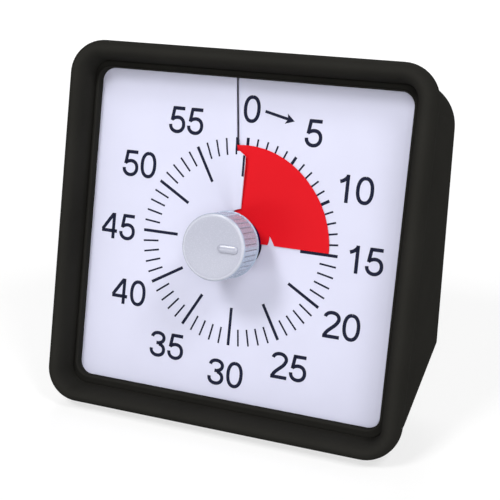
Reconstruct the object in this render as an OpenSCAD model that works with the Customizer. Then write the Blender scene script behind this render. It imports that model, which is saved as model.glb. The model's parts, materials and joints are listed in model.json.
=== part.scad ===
// Visual countdown timer: a square black case leaning on a fold-out leg, with a white dial,
// a knob, and a red film that winds through a slit in the dial.
// Millimetres. X runs along the width, Y to the rear and Z up from the surface it stands on.
// Dial frame: x to the right, y up the dial, z out of the dial, with the knob's axis at x = y = 0.
// Back frame: lies on the sloping back wall, x to the right as seen from behind, z out of the wall.

/* [Stance] */
// Angle by which the dial leans back
lean = 14.5; // [10:0.5:16]
// Angle between the deployed rear leg and the vertical
leg_splay = 20; // [17:1:24]

/* [Frame] */
// Width of the dial opening
opening_w = 164.4; // [162:0.2:166]
// Height of the dial opening
opening_h = 159.6; // [158:0.2:161]
// Corner radius of the dial opening
opening_r = 7; // [5:0.5:9]
// Half thickness of the rounded frame tube
tube_r = 4.6; // [4:0.1:5]
// Height of the tube's widest line above the dial
tube_mid = 11.5; // [10:0.5:13]
// Height of the tube's crown above its widest line
tube_crown = 6.3; // [5:0.1:7]
// Height of the ledge inside the tube above the dial
ledge_h = 3.6; // [3:0.1:4]

/* [Case] */
// Half width of the rear case
case_half = 92.3; // [91:0.1:92.6]
// Height of the case top above the knob's axis
case_top = 89.4; // [88:0.2:90]
// Wall thickness of the rear case
wall = 2.5; // [2:0.1:3]
// Depth of the case behind the dial at the height of the knob's axis
back_depth = 59.5; // [58:0.5:61]
// Angle between the back wall and the dial
back_tilt = 9.15; // [8:0.05:10]
// Depth gained per millimetre of height along the lower slope
under_slope = 1.762; // [1.7:0.01:1.8]
// Distance below the knob's axis at which the lower slope meets the dial plane
under_start = 85.6; // [84:0.2:87]
// Rounding of the rear edges
edge_r = 6; // [4:0.5:8]

/* [Dial] */
// Radius of the ring of minute marks
dial_r = 52; // [50:0.5:53]
// Thickness of the dial plate
dial_t = 1.2; // [1:0.1:1.5]
// Minute at which the slit stands
slit_minute = 59; // [59:59]
// Width of the slit
slit_w = 1.4; // [1.2:0.1:1.6]

/* [Knob] */
// Radius of the knob's grip
knob_r = 16.2; // [15:0.1:17]
// Height of the knob's front face above the dial
knob_front = 30.4; // [29:0.1:31]
// Height of the grip's rear edge above the dial
knob_rear = 13; // [12:0.5:14]
// Number of ribs around the grip
knob_ribs = 36; // [30:2:48]
// Radius of the neck between the knob's grip and the film clamp
neck_r = 7; // [6:0.5:8]

/* [Hidden] */
$fn = 64;
far = 400;

// ---- derived places ----
tube_x = opening_w / 2 + 7.4;
tube_y = opening_h / 2 + 8.85;
tube_corner = 15;
tube_back = 14.25;
case_low = tube_y + 2.7;
case_top_corner = 26;
case_low_corner = 18;
case_ridge_r = 8;
case_knee_r = 12;
rim_t = 2.4;
rim_corner = 17.5;
foot_half = [13, 3.6];
foot_x = 62;
foot_h = 4;
foot_proud = 1.2;
frame_low = tube_y * cos(lean) - tube_mid * sin(lean)
    + sqrt(pow(tube_r * cos(lean), 2) + pow(tube_back * sin(lean), 2));
dial_z = frame_low + foot_proud;
front_reach = tube_y * sin(lean) + tube_mid * cos(lean)
    + sqrt(pow(tube_r * sin(lean), 2) + pow(tube_crown * cos(lean), 2));
back_slope = tan(back_tilt);

// ---- stand leg ----
leg_t = 5;
leg_half = 29;
pivot_up = -14;
pivot_in = -3.4;
barrel_r = 3;
pin_r = 1.5;
fit = 0.05;
pocket_half = 31;
pocket_low = -27.4;
pocket_high = 55;
pocket_depth = 7;
pivot_v = pivot_up * cos(back_tilt) + pivot_in * sin(back_tilt);
pivot_w = -back_depth + pivot_up * sin(back_tilt) - pivot_in * cos(back_tilt);
pivot_rise = pivot_v * cos(lean) + pivot_w * sin(lean) + dial_z;
pivot_run = pivot_v * sin(lean) - pivot_w * cos(lean);
leg_length = pivot_rise / cos(leg_splay);
leg_tip = leg_length - 5;
rear_reach = pivot_run + leg_length * sin(leg_splay) + leg_t / 2 / cos(leg_splay);
dial_y = (front_reach - rear_reach) / 2;
pivot_y = dial_y + pivot_run;

// ---- battery bay, switch and sound grille, in the back frame ----
bay_x = 62;
bay_half = 9;
bay_low = -20;
bay_high = 41;
bay_depth = 21;
door_t = 2;
door_lap = 2.3;
door_gap = 0.3;
cell_r = 7.1;
cell_low = -13.5;
cell_high = 35;
switch_x = -62;
switch_y = -6;
grille_x = -62;
grille_y = 30;
keyhole_y = 66;
keyhole_r = 4.5;
magnet_r = 7;
magnet_t = 3;
magnet_spots = [[-64, 66], [64, 66], [-60, -31], [60, -31]];

// ---- screw places, in the dial frame ----
case_screw_x = 85.4;
case_screw_y = 62;
carrier_screws = [[-85.6, 36], [85.6, 36], [-85.6, -36], [85.6, -36], [-40, 83], [40, 83]];
carrier_z = -8;
carrier_t = 2;
screw_r = 1.3;

// ---- movement, in the dial frame ----
shaft_r = 2.5;
bush_r = 3.5;
movement_z = carrier_z - carrier_t;
plate_t = 2;
cover_back = -36;
cover_wall = 1.8;
cover_half = [29, 35];
cover_mid_y = -11;
main_teeth = 48;
pinion_teeth = 12;
coarse = 0.8;
wheel_teeth = 40;
rotor_teeth = 10;
fine = 0.5;
idler_dir = -60;
rotor_dir = 190;
idler_c = (main_teeth + pinion_teeth) / 2 * coarse * [cos(idler_dir), sin(idler_dir)];
rotor_c = idler_c + (wheel_teeth + rotor_teeth) / 2 * fine * [cos(rotor_dir), sin(rotor_dir)];
arbor_r = 0.8;
coil_c = [-6, -37, -27];
core_half = 1.5;
main_z = -18;
clip_groove_r = 1.7;
shaft_flat = 1.7;
wheel_z = -22;

// ---- circuit board, in the dial frame ----
board_c = [56, 40];
board_half = [20, 16];
board_z = -20;

// ---- film and hub, in the dial frame ----
film_r = 0.915 * dial_r;
film_t = 0.3;
film_front_z = 0.25;
film_rear_z = -4.5;
hub_r = 8.5;
hub_hole_r = 12.5;
notch_in = 0.30 * dial_r;
notch_out = 0.375 * dial_r;
notch_rise = 0.095 * dial_r;
clamp_z = [0.6, 1.8, 5];
cap_r = 9;

// ---- flap over the slit, in the dial frame ----
lip_r = 0.87 * dial_r;
lip_in = hub_hole_r + 1;
lip_z = 0.9;
lip_t = 0.8;
lip_past = 0.5;
lip_corner_r = 3.2;
riser_turn = 8.4;
riser_t = 1.6;

// ---- pointer on the knob, in the dial frame ----
pointer_x = [4.8, 10.8];
pointer_half = 1.7;
pointer_proud = 0.5;
knob_chamfer = 1.2;
rib_proud = 0.5;
rib_half = 1.05;
rim_w = 1.2;
rim_proud = 0.7;

// ---- frames of reference ----
module on_dial() translate([0, dial_y, dial_z]) rotate([90 - lean, 0, 0]) children();
module on_back() on_dial() translate([0, 0, -back_depth]) rotate([back_tilt, 0, 0])
    rotate([0, 180, 0]) children();
module on_leg() translate([0, pivot_y, pivot_rise]) rotate([leg_splay - 90, 0, 0]) children();

// ---- outlines ----
function unit(v) = v / norm(v);
// Points of the arc that rounds corner b between a and c
function arc_corner(a, b, c, r, n = 8) =
    let (u = unit(a - b), w = unit(c - b), half = acos(u * w) / 2,
        m = b + unit(u + w) * r / sin(half),
        p = b + u * r / tan(half) - m, q = b + w * r / tan(half) - m,
        a0 = atan2(p.y, p.x), sweep = ((atan2(q.y, q.x) - a0 + 540) % 360) - 180)
    [for (i = [0:n]) m + r * [cos(a0 + sweep * i / n), sin(a0 + sweep * i / n)]];
// Outline through corners [x, y, radius], where radius 0 is sharp
function rounded(p) = [for (i = [0:len(p) - 1])
    let (a = p[(i + len(p) - 1) % len(p)], b = p[i], c = p[(i + 1) % len(p)])
    each (b[2] > 0 ? arc_corner([a.x, a.y], [b.x, b.y], [c.x, c.y], b[2]) : [[b.x, b.y]])];

module round_rect(half, r) {
    square([2 * half.x - 2 * r, 2 * half.y], center = true);
    square([2 * half.x, 2 * half.y - 2 * r], center = true);
    for (x = [-1, 1], y = [-1, 1])
        translate([x * (half.x - r), y * (half.y - r)]) circle(r);
}

module tube_between(z0, z1, r_out, r_in) translate([0, 0, z0]) difference() {
    cylinder(h = z1 - z0, r = r_out);
    translate([0, 0, -1]) cylinder(h = z1 - z0 + 2, r = r_in);
}

module disc_between(z0, z1, r) translate([0, 0, z0]) cylinder(h = z1 - z0, r = r);

module box_between(a, b) translate(a) cube(b - a);

// Sector of a ring between two angles, counted anticlockwise from +x
module sector(r_out, r_in, from, to) rotate([0, 0, from]) rotate_extrude(angle = to - from, $fn = 120)
    translate([r_in, 0]) square([r_out - r_in, film_t]);

// Sweeps a section (x outward, y out of the dial) round a rectangle with corners of radius r
module frame_sweep(half, r) {
    for (turn = [0:3]) rotate([0, 0, 90 * turn]) {
        across = turn % 2 == 0 ? half.x : half.y;
        along = turn % 2 == 0 ? half.y : half.x;
        translate([across, along - r, 0]) rotate([90, 0, 0])
            linear_extrude(2 * (along - r)) children();
        translate([across - r, along - r, 0]) rotate_extrude(angle = 90)
            translate([r, 0]) children();
    }
}

module tube_section() polygon(concat(
    [[-tube_r, 0], [-tube_r, ledge_h]],
    [for (a = [180:-12:0]) [(a > 90 ? tube_r - 0.4 : tube_r) * cos(a), tube_mid + tube_crown * sin(a)]],
    [for (a = [-10:-10:-50]) [tube_r * cos(a), tube_mid + tube_back * sin(a)]],
    [[tube_r * cos(asin(tube_mid / tube_back)), 0]]));

module tube_hollow() polygon([[-2.4, -1], [-2, tube_mid], [-1.2, 14.6], [0.6, 15.2], [2, 13.6],
    [2.4, tube_mid], [2.2, 7], [0.9, -1]]);

module lip_section() polygon([[0, 0], [0, 4.3], [0.5, 4.8], [1.1, 4.7], [3, ledge_h], [6, ledge_h], [6, 0]]);

// ---- rear case solids ----
function back_at(y, inset) = back_depth - back_slope * y - inset / cos(back_tilt);
function under_at(y, inset) = under_slope * (y + under_start) - inset * sqrt(1 + pow(under_slope, 2));
function knee_y(inset) = (back_at(0, inset) - under_at(0, inset)) / (under_slope + back_slope);
under_angle = atan(1 / under_slope);

// Prism with two rounded rear edges: x across, depth down to z = 0, running along y
module edge_prism(half, r) rotate([90, 0, 0]) translate([0, 0, -far / 2]) linear_extrude(far)
    polygon(rounded([[-half, far / 2, 0], [-half, 0, r], [half, 0, r], [half, far / 2, 0]]));

// Volume of the case, inset by a wall thickness, in the dial frame
module case_volume(inset) intersection() {
    top = case_top - inset;
    knee = knee_y(inset);
    low = under_start - inset * sqrt(1 + pow(under_slope, 2)) / under_slope;
    half = case_half - inset;
    rotate([90, 0, 90]) translate([0, 0, -far / 2]) linear_extrude(far)
        polygon(rounded([[top, 0, 0], [top, -back_at(top, inset), case_ridge_r],
            [knee, -back_at(knee, inset), case_knee_r], [-low, 0, 0]]));
    translate([0, 0, -far / 2]) linear_extrude(far) front_outline(half, top, inset);
    translate([0, 0, -back_at(0, inset)]) rotate([back_tilt, 0, 0]) edge_prism(half, edge_r - inset / 2);
    translate([0, knee, -back_at(knee, inset)]) rotate([under_angle - 90, 0, 0])
        edge_prism(half, edge_r - inset / 2);
}

// Front outline of the case: large top corners and smaller bottom corners
module front_outline(half, top, inset) {
    top_r = case_top_corner - inset;
    low_r = case_low_corner - inset;
    low = case_low;
    polygon(concat(
        [for (a = [0:6:90]) [half - top_r + top_r * cos(a), top - top_r + top_r * sin(a)]],
        [for (a = [90:6:180]) [-half + top_r + top_r * cos(a), top - top_r + top_r * sin(a)]],
        [for (a = [180:6:270]) [-half + low_r + low_r * cos(a), -low + low_r + low_r * sin(a)]],
        [for (a = [270:6:360]) [half - low_r + low_r * cos(a), -low + low_r + low_r * sin(a)]]));
}

module at_case_screws() for (x = [-1, 1], y = [-1, 1])
    translate([x * case_screw_x, y * case_screw_y, 0]) children();

module at_carrier_screws() for (p = carrier_screws) translate([p.x, p.y, 0]) children();

// ---- housing shells ----
module front_frame() color([0.14, 0.13, 0.12]) difference() {
    union() {
        on_dial() difference() {
            union() {
                frame_sweep([tube_x, tube_y], tube_corner) tube_section();
                frame_sweep([opening_w, opening_h] / 2, opening_r) lip_section();
            }
            frame_sweep([tube_x, tube_y], tube_corner) tube_hollow();
        }
        on_dial() at_case_screws() tube_between(-8, 3, 3, screw_r);
        on_dial() at_carrier_screws() tube_between(-8, 3, 2.3, screw_r);
    }
    foot_blocks();
}

module rear_case() color([0.15, 0.14, 0.13]) difference() {
    union() {
        on_dial() difference() {
            union() {
                case_volume(0);
                translate([0, 0, -rim_t]) linear_extrude(rim_t) round_rect([case_half, case_low], rim_corner);
            }
            case_volume(wall);
        }
        on_dial() intersection() {
            case_volume(0.2);
            at_case_screws() disc_between(-far / 2, -8, 4.2);
        }
        on_back() {
            box_between([-pocket_half - 2, pocket_low - 2, -pocket_depth - 2],
                [pocket_half + 2, pocket_high + 2, -0.5]);
            box_between([bay_x - bay_half - 2.6, bay_low - 2.6, -bay_depth - 1.8],
                [bay_x + bay_half + 2.6, bay_high + 2.6, -0.5]);
            for (p = magnet_spots) translate([p.x, p.y, 0])
                disc_between(-magnet_t - 1.6, -0.5, magnet_r + 1.4);
            translate([grille_x, grille_y, 0]) tube_between(-8, -1, 16, 14.5);
        }
    }
    on_dial() at_case_screws() {
        disc_between(-far / 2, -14, 2.8);
        disc_between(-16, 1, screw_r + 0.2);
    }
    on_back() {
        box_between([-pocket_half, pocket_low, -pocket_depth], [pocket_half, pocket_high, 10]);
        box_between([bay_x - bay_half, bay_low, -bay_depth], [bay_x + bay_half, bay_high, 10]);
        box_between([bay_x - bay_half - door_lap, bay_low - door_lap, -door_t],
            [bay_x + bay_half + door_lap, bay_high + door_lap, 10]);
        translate([0, pivot_up, pivot_in]) rotate([0, 90, 0])
            cylinder(h = 2 * pocket_half + 3, r = pin_r, center = true);
        for (p = magnet_spots) translate([p.x, p.y, 0]) disc_between(-magnet_t, 5, magnet_r);
        translate([0, keyhole_y, 0]) keyhole_cut();
        translate([switch_x, switch_y, 0]) box_between([-2.6, -7, -8], [2.6, 7, 8]);
        translate([grille_x, grille_y, 0]) grille_holes();
        translate([0, pocket_high - 1, 0]) rotate([90, 0, 0]) cylinder(h = 8, r = 6, center = true);
        translate([0, pivot_up, 0]) detent_slot();
    }
}

module keyhole_cut() {
    disc_between(-6, 5, keyhole_r);
    translate([0, 8, 0]) disc_between(-6, 5, 2.2);
    box_between([-2.2, 0, -6], [2.2, 8, 5]);
}

module grille_holes() {
    disc_between(-6, 5, 1.3);
    for (ring = [1, 2], i = [0:6 * ring - 1]) rotate([0, 0, 60 / ring * i]) translate([4.6 * ring, 0, 0])
        disc_between(-6, 5, 1.3);
}

// Rubber pads let into the frame's lower edge
module foot_blocks() for (x = [-foot_x, foot_x]) translate([x, dial_y - tube_y * sin(lean) - 4.5, 0])
    linear_extrude(foot_h) round_rect(foot_half, 1.5);

module front_feet() color([0.1, 0.1, 0.1]) foot_blocks();

module magnets() color([0.66, 0.67, 0.68]) on_back() for (p = magnet_spots)
    translate([p.x, p.y, 0]) disc_between(-magnet_t, -0.2, magnet_r);

module case_screws() color([0.6, 0.61, 0.62]) on_dial() at_case_screws() pan_screw(-14, 12, 2.5);

module carrier_screws() color([0.6, 0.61, 0.62]) on_dial() at_carrier_screws()
    pan_screw(carrier_z - carrier_t, 8, 2.2);

// Screw that enters towards +z, with its head below z = seat and a cross slot
module pan_screw(seat, length, head_r) difference() {
    union() {
        disc_between(seat - 1.8, seat, head_r);
        disc_between(seat, seat + length, screw_r);
    }
    for (turn = [0, 90]) translate([0, 0, seat - 1.8]) rotate([0, 0, turn])
        cube([2.6, 0.6, 1.6], center = true);
}

// ---- dial ----
module dial_plate() color([0.87, 0.87, 0.95]) on_dial() difference() {
    union() {
        translate([0, 0, -dial_t]) linear_extrude(dial_t) round_rect([opening_w, opening_h] / 2 + [1, 1], 8);
        slit_lip();
    }
    at_case_screws() disc_between(-3, 3, 3.2);
    disc_between(-3, 3, hub_hole_r);
    rotate([0, 0, 90 + 6 * (60 - slit_minute)])
        box_between([0, -slit_w / 2, -3], [far / 2, slit_w / 2, 0.01]);
}

// Point of the flap's rooted edge at distance r along it, moved by side to the left
function riser_point(r, side) = let (c = cos(riser_turn), d = sin(riser_turn))
    [-d * r - c * side, c * r - d * side];

// Flap that bridges the slit above the film and ends at the zero mark
module slit_lip() {
    translate([0, 0, -dial_t / 2]) linear_extrude(dial_t / 2 + lip_z + lip_t / 2)
        polygon([riser_point(lip_in, 0), riser_point(lip_in, riser_t),
            riser_point(lip_r - 1, riser_t), riser_point(lip_r - 1, 0)]);
    translate([0, 0, lip_z]) linear_extrude(lip_t) polygon(concat(
        [riser_point(lip_in - 0.3, riser_t + 0.4), [lip_past, lip_in]],
        arc_corner([lip_past, lip_in], [lip_past, lip_r], [-5, lip_r], lip_corner_r),
        [riser_point(lip_r - 0.5, riser_t + 0.4)]));
}

// ---- film and knob group ----
module red_film() color([0.9, 0.11, 0.15]) on_dial() {
    difference() {
        translate([0, 0, film_front_z]) sector(film_r, hub_r, 0.9, 95.5);
        translate([notch_in, 0, -1]) linear_extrude(3)
            polygon([[0, -1], [notch_out - notch_in, -1], [(notch_out - notch_in) * 0.35, notch_rise]]);
    }
    translate([0, 0, film_rear_z]) sector(film_r, hub_r, 97, 359);
}

module film_hub() color([0.12, 0.12, 0.13]) on_dial() tube_between(-5.2, clamp_z[0], hub_r, shaft_r);

module film_clamp() color([0.1, 0.1, 0.11]) on_dial() difference() {
    union() {
        disc_between(clamp_z[0], clamp_z[1], hub_hole_r - 0.3);
        disc_between(clamp_z[1], clamp_z[2], cap_r);
    }
    disc_between(0, clamp_z[2] + 1, shaft_r);
}

module knob_shaft() color([0.75, 0.75, 0.77]) on_dial() difference() {
    disc_between(-24, 26, shaft_r);
    tube_between(-23.4, -22.6, 10, clip_groove_r);
    box_between([shaft_flat, -shaft_r, 14], [shaft_r + 1, shaft_r, 27]);
}

module knob() color([0.80, 0.80, 0.85]) on_dial() difference() {
    union() {
        disc_between(knob_rear, knob_front - knob_chamfer, knob_r);
        translate([0, 0, knob_front - knob_chamfer])
            cylinder(h = knob_chamfer, r1 = knob_r, r2 = knob_r - 0.9);
        disc_between(clamp_z[2], knob_rear + 1, neck_r);
        disc_between(knob_rear, knob_rear + rim_w, knob_r + rim_proud);
        for (i = [0:knob_ribs - 1]) rotate([0, 0, 360 / knob_ribs * (i + 0.5)])
            box_between([knob_r - 1, -rib_half, knob_rear + rim_w / 2],
                [knob_r + rib_proud, rib_half, knob_front - knob_chamfer - 0.4]);
        knob_pointer();
    }
    disc_between(4, 26, shaft_r);
    translate([0, 0, -1]) tube_between(knob_rear, knob_front - 4, knob_r - 2, 8.5);
}

module knob_pointer() translate([0, 0, knob_front - pointer_proud]) {
    box_between([pointer_x[0], -pointer_half, 0], [pointer_x[1], pointer_half, 2 * pointer_proud]);
    for (x = pointer_x) translate([x, 0, 0]) cylinder(h = 2 * pointer_proud, r = pointer_half);
}

// Leaf spring between the shaft's flat and the knob's bore
module knob_clip() color([0.7, 0.66, 0.5]) on_dial()
    box_between([shaft_flat, -1.5, 15], [shaft_flat + 0.25, 1.5, 25]);

// ---- movement ----
// Spur gear with slim trapezoid teeth, a tooth centred on +x
module gear(teeth, size, z0, z1) translate([0, 0, z0]) linear_extrude(z1 - z0) {
    pitch = teeth * size / 2;
    half = 90 / teeth * 0.78;
    tooth = [[-1.1, -1.3], [0, -1], [0.7, -0.4], [0.7, 0.4], [0, 1], [-1.1, 1.3]];
    polygon([for (i = [0:teeth - 1]) for (k = tooth)
        let (a = 360 / teeth * i + k[1] * half, r = pitch + k[0] * size) r * [cos(a), sin(a)]]);
}

module at_idler() translate([idler_c.x, idler_c.y, 0]) children();
module at_rotor() translate([rotor_c.x, rotor_c.y, 0]) children();

module main_wheel() color([0.86, 0.84, 0.76]) on_dial() difference() {
    union() {
        rotate([0, 0, idler_dir]) gear(main_teeth, coarse, main_z, main_z + 2);
        disc_between(main_z + 1, -14.6, 5);
    }
    disc_between(main_z - 1, -14, shaft_r);
}

module clutch_spring() color([0.7, 0.66, 0.5]) on_dial() {
    tube_between(main_z - 0.6, main_z, 6, shaft_r);
    tube_between(-22.6, main_z - 0.6, 3.6, shaft_r);
}

module shaft_clip() color([0.5, 0.5, 0.52]) on_dial() difference() {
    tube_between(-23.4, -22.6, 4.6, clip_groove_r);
    box_between([-1.6, -6, -24], [1.6, 0, -22]);
}

module idler_wheel() color([0.86, 0.84, 0.76]) on_dial() at_idler() difference() {
    union() {
        rotate([0, 0, idler_dir + 180 + 180 / pinion_teeth])
            gear(pinion_teeth, coarse, main_z - 0.6, main_z + 3);
        disc_between(wheel_z + 1, main_z - 0.5, 3);
        rotate([0, 0, rotor_dir]) gear(wheel_teeth, fine, wheel_z, wheel_z + 1.2);
    }
    disc_between(wheel_z - 1, main_z + 4, arbor_r);
}

module idler_arbor() color([0.75, 0.75, 0.77]) on_dial() at_idler() disc_between(-32.6, -10.6, arbor_r);

module rotor_pinion() color([0.9, 0.9, 0.88]) on_dial() at_rotor() difference() {
    union() {
        rotate([0, 0, rotor_dir + 180 + 180 / rotor_teeth])
            gear(rotor_teeth, fine, wheel_z - 1, wheel_z + 2.4);
        disc_between(-25, wheel_z - 0.9, 1.6);
    }
    disc_between(-26, wheel_z + 3, arbor_r);
}

module rotor_magnet() color([0.3, 0.3, 0.32]) on_dial() at_rotor() tube_between(-29, -25, 4, arbor_r);

module rotor_arbor() color([0.75, 0.75, 0.77]) on_dial() at_rotor() disc_between(-32.6, -10.6, arbor_r);

module motor_stator() color([0.55, 0.55, 0.57]) on_dial() difference() {
    stator_right = rotor_c.x + 6.5;
    union() {
        box_between([-20, -40, -28], [coil_c.x - 8.5, -16, -26]);
        box_between([-20, -30, -28], [stator_right, -16, -26]);
        box_between([coil_c.x + 8.5, -40, -28], [stator_right, -16, -26]);
        box_between([coil_c.x - 9, coil_c.y - core_half, -28], [coil_c.x + 9, coil_c.y + core_half, -26]);
    }
    at_rotor() disc_between(-30, -24, 4.6);
}

module coil_bobbin() color([0.92, 0.92, 0.9]) on_dial() translate(coil_c) rotate([0, 90, 0]) difference() {
    union() {
        for (z = [-8.5, 7.5]) disc_between(z, z + 1, 4.6);
        disc_between(-8, 8, 2.6);
    }
    cube([2, 2 * core_half, 20], center = true);
}

module motor_coil() color([0.72, 0.36, 0.16]) on_dial() translate(coil_c) rotate([0, 90, 0])
    tube_between(-7.5, 7.5, 4.2, 2.6);

module movement_plate() color([0.2, 0.2, 0.22]) on_dial() difference() {
    translate([0, cover_mid_y, movement_z - plate_t]) linear_extrude(plate_t) round_rect(cover_half, 4);
    disc_between(-14, -8, bush_r);
    at_idler() disc_between(-14, -8, arbor_r + fit);
    at_rotor() disc_between(-14, -8, arbor_r + fit);
    at_movement_screws() disc_between(-14, -8, screw_r);
}

module at_movement_screws() for (x = [-1, 1], y = [-1, 1])
    translate([x * (cover_half.x - 3.5), cover_mid_y + y * (cover_half.y - 3.5), 0]) children();

module movement_cover() color([0.23, 0.23, 0.25]) on_dial() difference() {
    union() {
        difference() {
            translate([0, cover_mid_y, cover_back]) linear_extrude(movement_z - plate_t - cover_back)
                round_rect(cover_half, 4);
            translate([0, cover_mid_y, cover_back + cover_wall]) linear_extrude(60)
                round_rect(cover_half - [cover_wall, cover_wall], 2.4);
        }
        at_movement_screws() disc_between(cover_back, movement_z - plate_t, 3);
        at_idler() disc_between(cover_back, -31, 2.4);
        at_rotor() disc_between(cover_back, -31, 2.4);
        for (y = [-37, -18]) translate([-17.5, y, 0]) disc_between(cover_back, -28, 2);
    }
    at_idler() disc_between(-33, -30, arbor_r + fit);
    at_rotor() disc_between(-33, -30, arbor_r + fit);
    at_movement_screws() disc_between(cover_back - 1, movement_z, screw_r);
}

module movement_screws() color([0.6, 0.61, 0.62]) on_dial() at_movement_screws()
    pan_screw(cover_back, movement_z - cover_back - 0.2, 2.4);

module shaft_bush() color([0.78, 0.63, 0.3]) on_dial() difference() {
    union() {
        disc_between(-14.4, -5.4, bush_r);
        disc_between(-14.4, movement_z - plate_t, 6);
    }
    disc_between(-16, -3, shaft_r + fit);
}

module bush_nut() color([0.78, 0.63, 0.3]) on_dial() translate([0, 0, carrier_z]) difference() {
    cylinder(h = 2.4, r = 6.4, $fn = 6);
    translate([0, 0, -1]) cylinder(h = 5, r = bush_r);
}

// ---- film carrier and electronics ----
module film_carrier() color([0.3, 0.3, 0.32]) on_dial() difference() {
    union() {
        translate([0, 5.5, movement_z]) linear_extrude(carrier_t) round_rect([88.4, 80], 22);
        for (x = [-1, 1], y = [-1, 1]) translate([x * 66, y * 62, 0])
            disc_between(carrier_z - 0.5, -dial_t, 3);
    }
    disc_between(-12, -6, bush_r);
    at_case_screws() disc_between(-12, -6, 4.8);
    at_carrier_screws() disc_between(-12, -6, screw_r);
    for (x = [-1, 1]) translate([x * 48, -22, -12]) linear_extrude(6) round_rect([12, 22], 5);
}

module board_posts() color([0.3, 0.3, 0.32]) on_dial() at_board_screws()
    tube_between(board_z + 1.6, movement_z, 2.6, screw_r);

module at_board_screws() for (s = [-1, 1])
    translate([board_c.x + s * (board_half.x - 4), board_c.y + s * (board_half.y - 4), 0]) children();

module circuit_board() color([0.1, 0.38, 0.2]) on_dial() difference() {
    translate([board_c.x, board_c.y, board_z]) linear_extrude(1.6) round_rect(board_half, 1.5);
    at_board_screws() disc_between(board_z - 1, board_z + 3, screw_r);
}

module board_screws() color([0.6, 0.61, 0.62]) on_dial() at_board_screws() pan_screw(board_z, 8, 2.3);

module timer_chip() color([0.1, 0.1, 0.1]) on_dial() translate([board_c.x + 3, board_c.y - 4, 0])
    box_between([-4, -4, board_z - 1.4], [4, 4, board_z]);

module quartz_crystal() color([0.75, 0.76, 0.78]) on_dial()
    translate([board_c.x - 9, board_c.y + 8, board_z - 1.6]) rotate([0, 90, 0]) disc_between(-4, 4, 1.6);

module capacitor() color([0.15, 0.2, 0.45]) on_dial() translate([board_c.x - 9, board_c.y - 8, 0])
    disc_between(board_z - 8, board_z, 2.5);

module buzzer() color([0.8, 0.66, 0.3]) on_back() translate([grille_x, grille_y, 0]) {
    disc_between(-6.2, -5.8, 13.5);
    disc_between(-6.5, -6.2, 9);
}

module buzzer_ring() color([0.1, 0.1, 0.1]) on_back() translate([grille_x, grille_y, 0]) {
    tube_between(-5.8, -wall, 14.5, 12.5);
    tube_between(-6.6, -5.8, 14.5, 13.5);
}

module switch_body() color([0.7, 0.71, 0.73]) on_back() translate([switch_x, switch_y, 0]) difference() {
    box_between([-4.5, -10, -8.4], [4.5, 10, -wall]);
    box_between([-2.6, -7, -7], [2.6, 7, 0]);
}

module sound_switch() color([0.85, 0.85, 0.87]) on_back() translate([switch_x, switch_y, 0]) {
    box_between([-2.3, -6, -6.9], [2.3, 2, -1.4]);
    box_between([-2.3, -4.5, -1.4], [2.3, 0.5, 0.4]);
}

// ---- battery ----
module battery_door() color([0.15, 0.14, 0.13]) on_back() {
    difference() {
        box_between([bay_x - bay_half - door_lap + door_gap, bay_low - door_lap + door_gap, -door_t],
            [bay_x + bay_half + door_lap - door_gap, bay_high + door_lap - door_gap, -0.1]);
        for (i = [0:3])
            box_between([bay_x - 6, bay_high - 5 - 3 * i, -0.7], [bay_x + 6, bay_high - 4 - 3 * i, 1]);
    }
    box_between([bay_x - 4, bay_high - 2.4, -5], [bay_x + 4, bay_high - 0.6, -door_t]);
    for (x = [-5, 5])
        box_between([bay_x + x - 1, bay_low + 0.6, -5], [bay_x + x + 1, bay_low + 2.4, -door_t]);
}

module battery_cell() color([0.85, 0.65, 0.15]) on_back() translate([bay_x, 0, -13]) rotate([-90, 0, 0]) {
    disc_between(cell_low, cell_high, cell_r);
    disc_between(cell_high, cell_high + 1.6, 2.7);
}

module battery_spring() color([0.75, 0.76, 0.78]) on_back() translate([bay_x, 0, -13]) {
    box_between([-6, bay_low, -6], [6, bay_low + 0.5, 6]);
    for (i = [0:3]) translate([0, bay_low + 0.5 + 1.5 * i, 0]) rotate([-90, 0, 0])
        tube_between(0, 1.5, 5 - 0.8 * i, 3.6 - 0.8 * i);
}

module battery_contact() color([0.75, 0.76, 0.78]) on_back() translate([bay_x, 0, -13])
    box_between([-6, cell_high + 1.6, -6], [6, bay_high, 6]);

// Two leads from the battery bay to the circuit board, behind the film carrier
module battery_leads() on_dial() {
    color([0.8, 0.1, 0.1]) lead([[-60, 41.2, -39], [-60, 46, -38], [-50, 50, -32], [-20, 52, -26],
        [20, 50, -24], [39, 48, -20.7]], 0.7);
    color([0.1, 0.1, 0.1]) lead([[-66, 41.2, -39], [-66, 48, -38], [-54, 54, -32], [-20, 56, -26],
        [24, 54, -24], [43, 53, -20.7]], 0.7);
}

// Direction of a route at its point i
function along(p, i) = unit((i > 0 ? unit(p[i] - p[i - 1]) : [0, 0, 0])
    + (i < len(p) - 1 ? unit(p[i + 1] - p[i]) : [0, 0, 0]));
// Ring of points round a route's point i
function lead_ring(p, i, r, sides) = let (t = along(p, i), s = unit(cross(t, [0, 0, 1])), n = cross(t, s))
    [for (j = [0:sides - 1]) p[i] + r * (s * cos(360 / sides * j) + n * sin(360 / sides * j))];

module lead(points, r, sides = 8) {
    last = len(points) - 1;
    polyhedron([for (i = [0:last]) each lead_ring(points, i, r, sides)], concat(
        [[for (j = [0:sides - 1]) j]],
        [for (i = [0:last - 1], j = [0:sides - 1]) let (k = (j + 1) % sides)
            [i * sides + j, (i + 1) * sides + j, (i + 1) * sides + k, i * sides + k]],
        [[for (j = [sides - 1:-1:0]) last * sides + j]]));
}

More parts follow.
